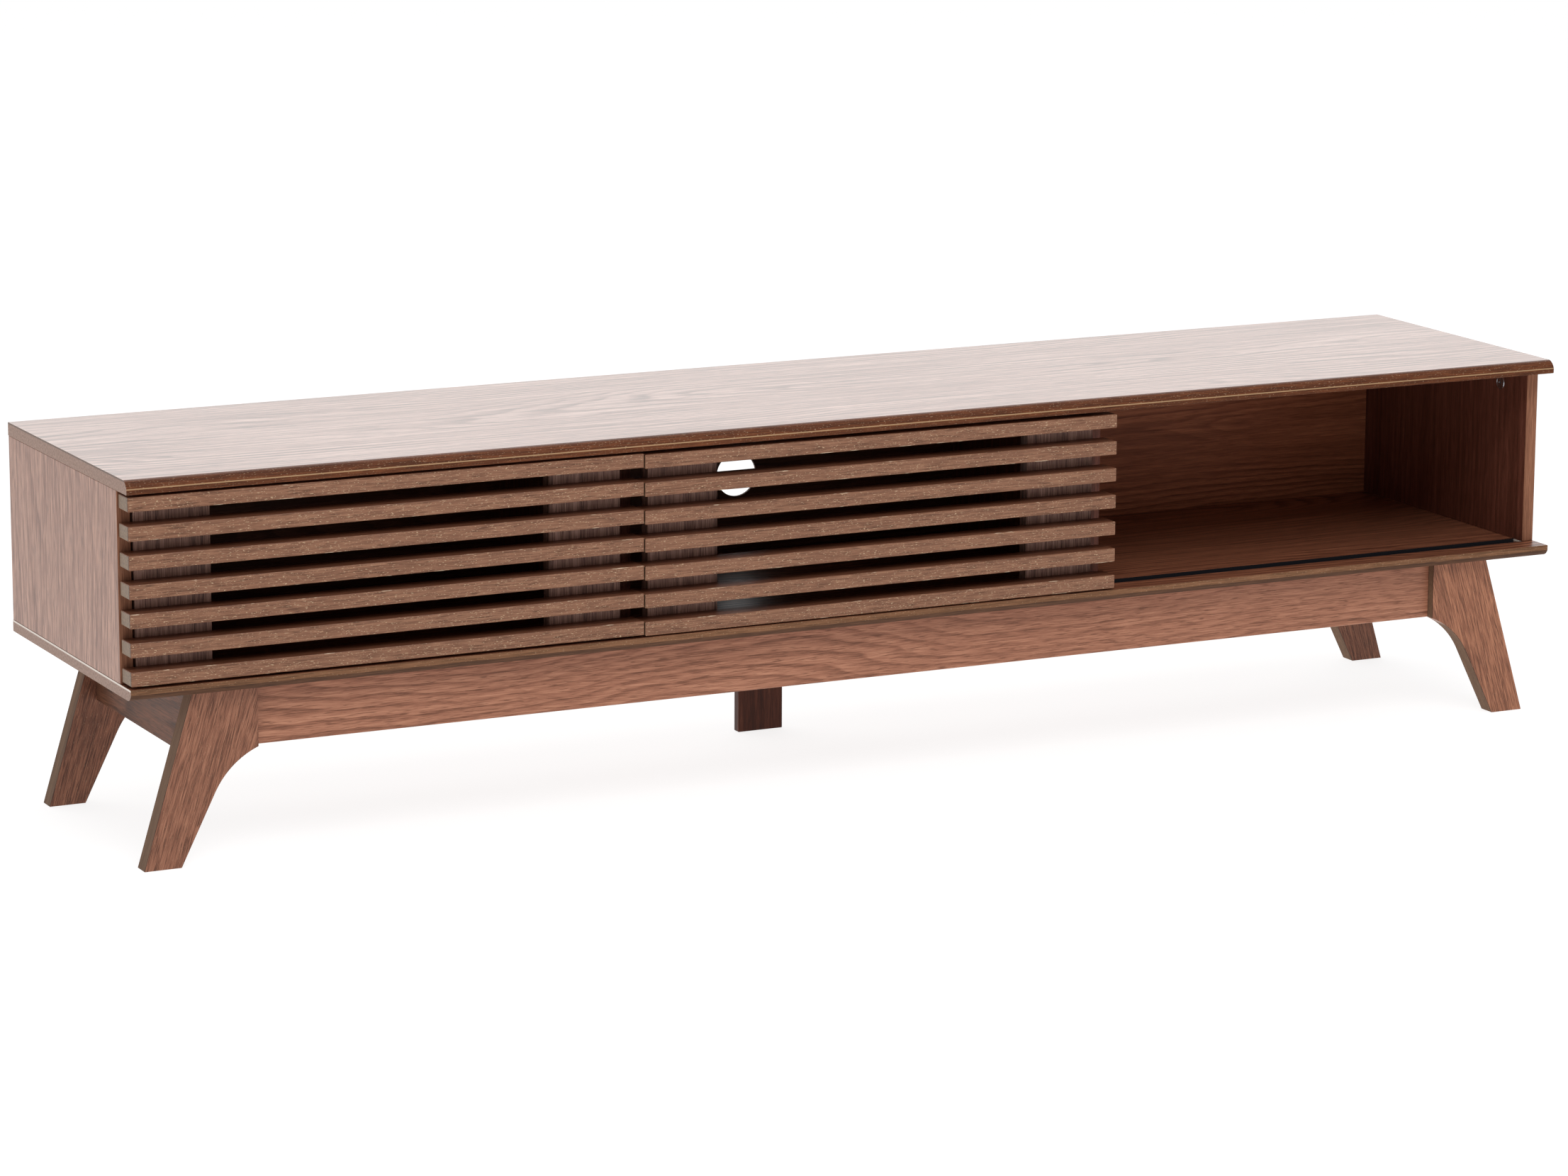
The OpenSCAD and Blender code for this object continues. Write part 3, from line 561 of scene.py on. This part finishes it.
# The centre leg, under the cabinet: a much darker copy of the print, painted shade.
PAINTED_SHADE_CENTRE_LEG = ("613829", "4a2518", "2e160f")
LEG_BAND = ("8c6d54", "735844", "523c2c")
REAR_LEG = ("9a6850", "7b4f3c", "4b2c20")
LEG_LEAN = 0.29
LEGS = {
    "leg_front_left": (12.4, -LEG_LEAN, ("a8745b", "8b5b46", "5a3728")),
    "leg_rear_left": (13.2, -LEG_LEAN, REAR_LEG),
    "leg_front_right": (14.1, LEG_LEAN, ("bb8061", "9b654c", "653e2c")),
    "leg_rear_right": (15.6, LEG_LEAN, REAR_LEG),
}

apron_foil = foil("walnut_apron", "x", 4.6, RED, (0.7, 0.4, 0.8, 0.7, 0.1), arch=(0.15, 0.27, 0.07))
rail_foil = foil("walnut_rail", "y", 6.8, RAIL, (0.6, 0.5, 0.9, 0.7, 0.0), gloss=0.08)
centre_leg_foil = foil("walnut_centre_leg", "z", 8.5, PAINTED_SHADE_CENTRE_LEG, (0.2, 0.9, 0.7, 0.5, 0.0), gloss=0.15)
leg_foils = {
    name: foil(
        "walnut_" + name, "z", seed, colours, (0.2, 0.3, 1.3, 0.9, 0.2),
        [print_or_painted_shade(sideways, seed + 0.4, LEG_BAND, (0.0, 0.4, 0.5, 0.3, 0.0)),
         seam_or_painted_line("Y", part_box(name)[0].y + 0.0004, 0.0008, "2d1c14", 0.9, sideways)],
        lean=lean, matt=sideways,
    )
    for name, (seed, lean, colours) in LEGS.items()
}
print("board finishes:", sum(material.name.startswith("walnut_") for material in bpy.data.materials))

# %% [markdown]
# ## Plastic, zinc and beech
# The track and glides are black moulded plastic with a fine matte grain. The cam locks, bolts and screws
# are zinc with a slightly cloudy plating. Dowels are plain beech.

# %% Other finishes


def plain_finish(name, colours, scale, rough, metallic=0.0):
    material = bpy.data.materials.new(name)
    material.use_nodes = True
    tree = material.node_tree
    shader = tree.nodes["Principled BSDF"]
    cloud = noise(tree, stretched(tree, object_place(tree), scale), detail=3.0, rough=0.6)
    plug(tree, shader.inputs["Base Color"], blend(tree, cloud, srgb(colours[0]), srgb(colours[1])))
    plug(tree, shader.inputs["Roughness"], between(tree, cloud, 0.3, 0.7, rough))
    shader.inputs["Metallic"].default_value = metallic
    add_bump(tree, shader, cloud, 0.3, 0.00004)
    return material


black_plastic = plain_finish("black_plastic", ("0c0c10", "1c1c22"), (900.0, 900.0, 900.0), (0.38, 0.5))
zinc = plain_finish("zinc", ("8f9298", "c3c5ca"), (350.0, 350.0, 350.0), (0.25, 0.4), metallic=1.0)
bright_steel = plain_finish(
    "bright_steel", ("a0a2a6", "cfd0d2"), (500.0, 500.0, 500.0), (0.2, 0.32), metallic=1.0)
beech = plain_finish("beech", ("c9a678", "e0c298"), (250.0, 250.0, 12.0), (0.5, 0.65))
print("finishes in all:", len(bpy.data.materials))

# %% [markdown]
# ## Dressing the frame's nodes
# Boards are dressed one by one. The doors' many slats, stiles and small fittings share a finish with all
# that have the same word in their names.

# %% Dress the nodes
finishes = {
    "top_panel": board_top, "bottom_panel": board_bottom, "side_panel_left": side_finishes["left"],
    "side_panel_right": side_finishes["right"], "divider_left": board_divider,
    "divider_right": board_divider, "back_panel": board_back, "front_apron": apron_foil,
    "rear_apron": apron_foil, "side_rail_left": rail_foil, "side_rail_right": rail_foil,
    "centre_leg": centre_leg_foil, **leg_foils, "track_upper": black_plastic,
    "track_lower": black_plastic, "back_pins": bright_steel,
}
by_word = {
    "_slat_": slat_foil, "_stile_": stile_foil, "_glides": black_plastic, "_guides": black_plastic,
    "dowels": beech, "_locks": zinc, "_bolts": zinc, "_screws": zinc, "_brackets": zinc,
}


def finish_for(name):
    if name in finishes:
        return finishes[name]
    return next(finish for word, finish in by_word.items() if word in name)


for name, piece in nodes.items():
    piece.data.materials.clear()
    piece.data.materials.append(finish_for(name))
print("dressed", len(nodes), "nodes")

# %% [markdown]
# ## Finding every screw and lock
# The small fittings come as groups of separate solids. A copy of such a group, with its doubled corners
# merged, falls apart into islands. An island's longest side is a screw's axis, and the end with the wider
# ring of points is its head. So each modelled fitting lands exactly where the frame has one.

# %% Islands
SAME_POINT, SAME_LEVEL = 1e-6, 1e-5


def islands(name):
    """The points of each separate solid in a node."""
    mesh = bmesh.new()
    mesh.from_mesh(nodes[name].data)
    bmesh.ops.remove_doubles(mesh, verts=mesh.verts, dist=SAME_POINT)
    left, found = set(mesh.verts), []
    while left:
        island, edge_of_it = set(), [left.pop()]
        while edge_of_it:
            vertex = edge_of_it.pop()
            island.add(vertex)
            for edge in vertex.link_edges:
                other = edge.other_vert(vertex)
                if other in left:
                    left.discard(other)
                    edge_of_it.append(other)
        found.append([vertex.co.copy() for vertex in island])
    mesh.free()
    return found


def middle_of(points):
    return Vector([(min(p[i] for p in points) + max(p[i] for p in points)) / 2 for i in range(3)])


def face_at(points, axis, sign):
    """The middle of the face that an island shows one way along an axis, and that way."""
    place, way = middle_of(points), Vector((0, 0, 0))
    place[axis] = sign * max(sign * p[axis] for p in points)
    way[axis] = sign
    return place, way


def top_points(points, axis, sign):
    tip = max(sign * p[axis] for p in points)
    return [p for p in points if sign * p[axis] > tip - SAME_LEVEL]


def screw_places(name):
    """For each screw in a node: the middle of its head's face, and the way that face looks."""
    places = []
    for points in islands(name):
        spans = [max(p[i] for p in points) - min(p[i] for p in points) for i in range(3)]
        axis = spans.index(max(spans))
        middle = middle_of(points)
        reach = {s: max((p - middle).length for p in top_points(points, axis, s)) for s in (-1, 1)}
        places.append(face_at(points, axis, max(reach, key=reach.get)))
    return places


print("door screws:", len(screw_places("left_door_screws")), "each door")

# %% [markdown]
# ## Screws with a cross recess
# A furniture screw is turned from wire: a head, a plain neck, and a pointed shank. It starts as a cylinder
# for the head. Its lower face is drawn in and pulled out into the shank and its point, the head's rim is
# bevelled, and the driver's cross is cut by a boolean with two crossed wedges.

# %% Modelling helpers


def edit(obj):
    bpy.ops.object.select_all(action="DESELECT")
    bpy.context.view_layer.objects.active = obj
    obj.select_set(True)
    bpy.ops.object.mode_set(mode="EDIT")
    bpy.ops.mesh.select_mode(type="FACE")
    bpy.ops.mesh.select_all(action="DESELECT")
    return bmesh.from_edit_mesh(obj.data)


def pick_faces(obj, mesh, sign):
    """Select the faces that look up, or with a sign of -1 down."""
    for face in mesh.faces:
        face.select_set(sign * face.normal.z > 0.9)
    mesh.select_flush_mode()
    bmesh.update_edit_mesh(obj.data)


def narrow(x, y, middle=(0, 0, 0)):
    bpy.ops.transform.resize(value=(x, y, 1), center_override=middle)


def pull(z):
    bpy.ops.mesh.extrude_region_move(TRANSFORM_OT_translate={"value": (0, 0, z)})


def cross_cutter(span, width, depth):
    """Two crossed bars around the origin, narrowed towards their lower faces."""
    parts = []
    for size in ((span, width), (width, span)):
        bpy.ops.mesh.primitive_cube_add(size=1, location=(0, 0, 0))
        part = bpy.context.object
        mesh = edit(part)
        bpy.ops.mesh.select_all(action="SELECT")
        bpy.ops.transform.resize(value=(size[0], size[1], 2 * depth), center_override=(0, 0, 0))
        pick_faces(part, mesh, -1)
        narrow(0.45, 0.6, (0, 0, -depth))
        bpy.ops.object.mode_set(mode="OBJECT")
        parts.append(part)
    return parts


def cut(obj, cutters):
    for cutter in cutters:
        bpy.ops.object.select_all(action="DESELECT")
        bpy.context.view_layer.objects.active = obj
        obj.select_set(True)
        change = obj.modifiers.new("cut", "BOOLEAN")
        change.operation, change.object, change.solver = "DIFFERENCE", cutter, "EXACT"
        bpy.ops.object.modifier_apply(modifier=change.name)
        bpy.data.objects.remove(cutter)


def start_disc(name, points, radius, height, place):
    bpy.ops.object.select_all(action="DESELECT")
    bpy.ops.mesh.primitive_cylinder_add(vertices=points, radius=radius, depth=height, location=place)
    disc = bpy.context.object
    disc.name = name
    bpy.ops.object.transform_apply(location=True, rotation=False, scale=False)
    return disc


# %% [markdown]
# Pan heads get a round rim in three steps, and countersunk heads only a small chamfer. The cross is a share
# of the head's size, as drivers come in sizes to suit the head.

# %% Screw
POINT_SHARE, POINT_SCALE = 0.2, 0.12
CROSS_SPAN, CROSS_WIDTH, CROSS_DEPTH = 0.62, 0.13, 0.55
SMOOTH_BELOW = math.radians(35)


def make_screw(name, head_d, head_h, shank_d, length, pan):
    """A screw whose head's face looks up from z = 0, with its shank below."""
    screw = start_disc(name, 24, head_d / 2, head_h, (0, 0, -head_h / 2))
    mesh = edit(screw)
    pick_faces(screw, mesh, -1)
    if pan:
        bpy.ops.mesh.inset(thickness=(head_d - shank_d) / 2)
    else:
        narrow(shank_d / head_d, shank_d / head_d)
    pull(-(length - head_h) * (1 - POINT_SHARE))
    pull(-(length - head_h) * POINT_SHARE)
    narrow(POINT_SCALE, POINT_SCALE)
    bpy.ops.mesh.select_all(action="DESELECT")
    bpy.ops.mesh.select_mode(type="EDGE")
    for edge in mesh.edges:
        if all(abs(vertex.co.z) < SAME_POINT for vertex in edge.verts):
            edge.select_set(True)
    bmesh.update_edit_mesh(screw.data)
    rounding, steps = (head_h * 0.55, 3) if pan else (head_h * 0.08, 1)
    bpy.ops.mesh.bevel(offset=rounding, segments=steps, affect="EDGES")
    bpy.ops.object.mode_set(mode="OBJECT")
    cut(screw, cross_cutter(head_d * CROSS_SPAN, head_d * CROSS_WIDTH, head_h * CROSS_DEPTH))
    bpy.ops.object.shade_smooth_by_angle(angle=SMOOTH_BELOW)
    return screw


def put(model, name, place, way, body, spin=0.0, toward=None):
    """A zinc copy of a model that looks up, moved to look the given way, its place in its own mesh.
    toward: a point that the model's Y side turns to."""
    copy = model.copy()
    copy.data = model.data.copy()
    copy.name = name
    bpy.context.scene.collection.objects.link(copy)
    turn = Vector((0, 0, 1)).rotation_difference(way).to_matrix().to_4x4()
    if toward:
        aim = turn.inverted() @ (toward - place)
        spin = math.atan2(-aim.x, aim.y)
    copy.data.transform(Matrix.Translation(place) @ turn @ Matrix.Rotation(spin, 4, "Z"))
    copy.data.materials.clear()
    copy.data.materials.append(zinc)
    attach(copy, body)
    return copy


# %% [markdown]
# Each kind of screw is modelled once, and a copy goes to every place in its node. No two crosses in a row
# stand at the same angle, because a screw stops where it is tight.

# %% All screws
SPIN_STEP = 0.7
# A node, its body, the head's diameter and height, the shank's diameter, the whole length, and a pan head.
SCREW_SETS = (
    ("left_door_screws", "left_door", 0.0070, 0.0025, 0.0035, 0.0331, False),
    ("middle_door_screws", "middle_door", 0.0070, 0.0025, 0.0035, 0.0331, False),
    ("carcass_screws", "cabinet", 0.0090, 0.0040, 0.0050, 0.0500, False),
    ("centre_leg_screws", "cabinet", 0.0070, 0.0025, 0.0035, 0.0200, False),
    ("bracket_screws", "cabinet", 0.0065, 0.0020, 0.0035, 0.0130, True),
)
for node_name, body, head_d, head_h, shank_d, length, pan in SCREW_SETS:
    model = make_screw("screw_model", head_d, head_h, shank_d, length, pan)
    for count, (place, way) in enumerate(screw_places(node_name), 1):
        piece = put(model, f"{node_name[:-1]}_{count}", place, way, body, spin=count * SPIN_STEP)
        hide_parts(node_name)
    bpy.data.objects.remove(model)
    print(node_name, "made", count, "times")

# %% [markdown]
# ## Flanges on the cam locks
# A die-cast cam lock has a thin flange that hides the edge of its hole, with a cross for the driver and an
# arrow that shows where the bolt comes in. The flange is a low disc with a chamfered rim, its middle
# pressed down, the cross cut through, and the arrow raised. Each is turned so that its arrow points at the
# nearest bolt.

# %% Lock flange
FLANGE_R, FLANGE_H = 0.0083, 0.0007
RIM_W, RIM_STEP_W, PRESSED = 0.0010, 0.0003, 0.00035
ARROW_R, ARROW_H, ARROW_PLACE = 0.0012, 0.0004, (0, 0.0050, 0.00045)


def make_flange():
    flange = start_disc("flange_model", 40, FLANGE_R, FLANGE_H, (0, 0, FLANGE_H / 2))
    mesh = edit(flange)
    pick_faces(flange, mesh, 1)
    narrow(0.93, 0.93)
    bpy.ops.mesh.inset(thickness=RIM_W)
    bpy.ops.mesh.inset(thickness=RIM_STEP_W)
    bpy.ops.transform.translate(value=(0, 0, -PRESSED))
    bpy.ops.object.mode_set(mode="OBJECT")
    cut(flange, cross_cutter(0.0070, 0.0013, 0.0015))
    arrow = start_disc("arrow_model", 3, ARROW_R, ARROW_H, ARROW_PLACE)
    mesh = edit(arrow)
    pick_faces(arrow, mesh, 1)
    narrow(0.7, 0.7, (0, ARROW_PLACE[1], 0))
    bpy.ops.object.mode_set(mode="OBJECT")
    flange.select_set(True)
    bpy.context.view_layer.objects.active = flange
    bpy.ops.object.join()
    bpy.ops.object.shade_smooth_by_angle(angle=SMOOTH_BELOW)
    return flange


def lock_places(name):
    """For each lock in a node: the middle of its face, and the way it looks. The face with the cross is
    the one with the most points."""
    ways = [(axis, sign) for axis in range(3) for sign in (-1, 1)]
    places = []
    for points in islands(name):
        axis, sign = max(ways, key=lambda way: len(top_points(points, *way)))
        places.append(face_at(points, axis, sign))
    return places


flange = make_flange()
for locks_name, bolts_name in (("cam_locks", "cam_bolts"), ("base_cam_locks", "base_cam_bolts")):
    bolts = [middle_of(points) for points in islands(bolts_name)]
    for count, (place, way) in enumerate(lock_places(locks_name), 1):
        bolt = min(bolts, key=lambda middle: (middle - place).length)
        put(flange, f"{locks_name[:-1]}_flange_{count}", place, way, "cabinet", toward=bolt)
    print(locks_name, "have", count, "flanges")
bpy.data.objects.remove(flange)

# %% [markdown]
# ## The studio
# A pale floor with no edge in sight. It glows a little by itself, so that the cabinet's shadow on it
# stays faint.

# %% Floor
FLOOR_SIZE = 80.0
FLOOR_GREY, FLOOR_GLOW = 0.3, 0.85
bpy.ops.mesh.primitive_plane_add(size=FLOOR_SIZE, location=(0, 0, low.z - 0.0005))
floor = bpy.context.object
floor.name = "studio_floor"
paint = bpy.data.materials.new("studio_floor")
paint.use_nodes = True
floor_shader = paint.node_tree.nodes["Principled BSDF"]
floor_shader.inputs["Base Color"].default_value = (FLOOR_GREY, FLOOR_GREY, FLOOR_GREY, 1)
floor_shader.inputs["Roughness"].default_value = 0.9
floor_shader.inputs["Specular IOR Level"].default_value = 0.0
floor_shader.inputs["Emission Color"].default_value = (1, 1, 1, 1)
floor_shader.inputs["Emission Strength"].default_value = FLOOR_GLOW
floor.data.materials.append(paint)

# %% [markdown]
# The world is bright behind the cabinet and dim around it: satin foil mirrors the bright part at a low
# angle, which turns the top almost white. Seen directly it is plain white all round. A wide soft lamp high
# in front lights the doors and leaves the open bay dark, and a weaker one hangs over the top.

# %% Light
BACKDROP, AROUND, SEEN = 1.32, 0.28, 1.0
world = bpy.data.worlds.new("studio")
bpy.context.scene.world = world
world.use_nodes = True
sky = world.node_tree
direction = split(sky, sky.nodes.new("ShaderNodeTexCoord").outputs["Generated"])
strength = between(sky, direction[1], 0.25, 0.75, (AROUND, BACKDROP), True)
seen = sky.nodes.new("ShaderNodeLightPath").outputs["Is Camera Ray"]
lift = sums(sky, "MULTIPLY", sums(sky, "SUBTRACT", SEEN, strength), seen)
plug(sky, sky.nodes["Background"].inputs[1], sums(sky, "ADD", lift, strength))
sky.nodes["Background"].inputs[0].default_value = (1.0, 1.0, 1.0, 1)


def soft_lamp(name, place, target, size, power):
    data = bpy.data.lights.new(name, "AREA")
    data.shape, data.size, data.size_y = "RECTANGLE", size[0], size[1]
    data.energy = power
    lamp = bpy.data.objects.new(name, data)
    bpy.context.scene.collection.objects.link(lamp)
    aim = (Vector(target) - Vector(place)).to_track_quat("-Z", "Y")
    lamp.matrix_world = Matrix.Translation(place) @ aim.to_matrix().to_4x4()
    lamp.visible_camera = False


soft_lamp("high_lamp", (-0.6, -3.0, 3.6), (0, 0, 0.25), size=(3.0, 2.0), power=85)
soft_lamp("top_lamp", (0.3, -0.2, 3.6), (0, 0, 0.2), size=(3.0, 2.0), power=40)
print("lamps:", len(bpy.data.lights))

# %% [markdown]
# ## The camera
# A long lens from the front left, a little above the cabinet, so that its long lines stay calm. The
# Standard view shows colours as they are, without a film look.

# %% Camera
SENSOR_W, LENS = 36.0, 121.627
CAMERA_PLACE = Vector((-2.7202, -5.3806, 1.4796))
CAMERA_RIGHT = Vector((0.89492, -0.44620, 0.00428))
CAMERA_DOWN = Vector((-0.08914, -0.18815, -0.97809))
CAMERA_FORWARD = Vector((0.43723, 0.87493, -0.20815))
lens = bpy.data.cameras.new("camera")
lens.sensor_width, lens.lens = SENSOR_W, LENS
camera = bpy.data.objects.new("camera", lens)
bpy.context.scene.collection.objects.link(camera)
turn = Matrix((CAMERA_RIGHT, -CAMERA_DOWN, -CAMERA_FORWARD)).transposed().to_4x4()
camera.matrix_world = Matrix.Translation(CAMERA_PLACE) @ turn
bpy.context.scene.camera = camera
bpy.context.scene.view_settings.view_transform = "Standard"
print("camera", round(CAMERA_PLACE.length, 2), "m away")
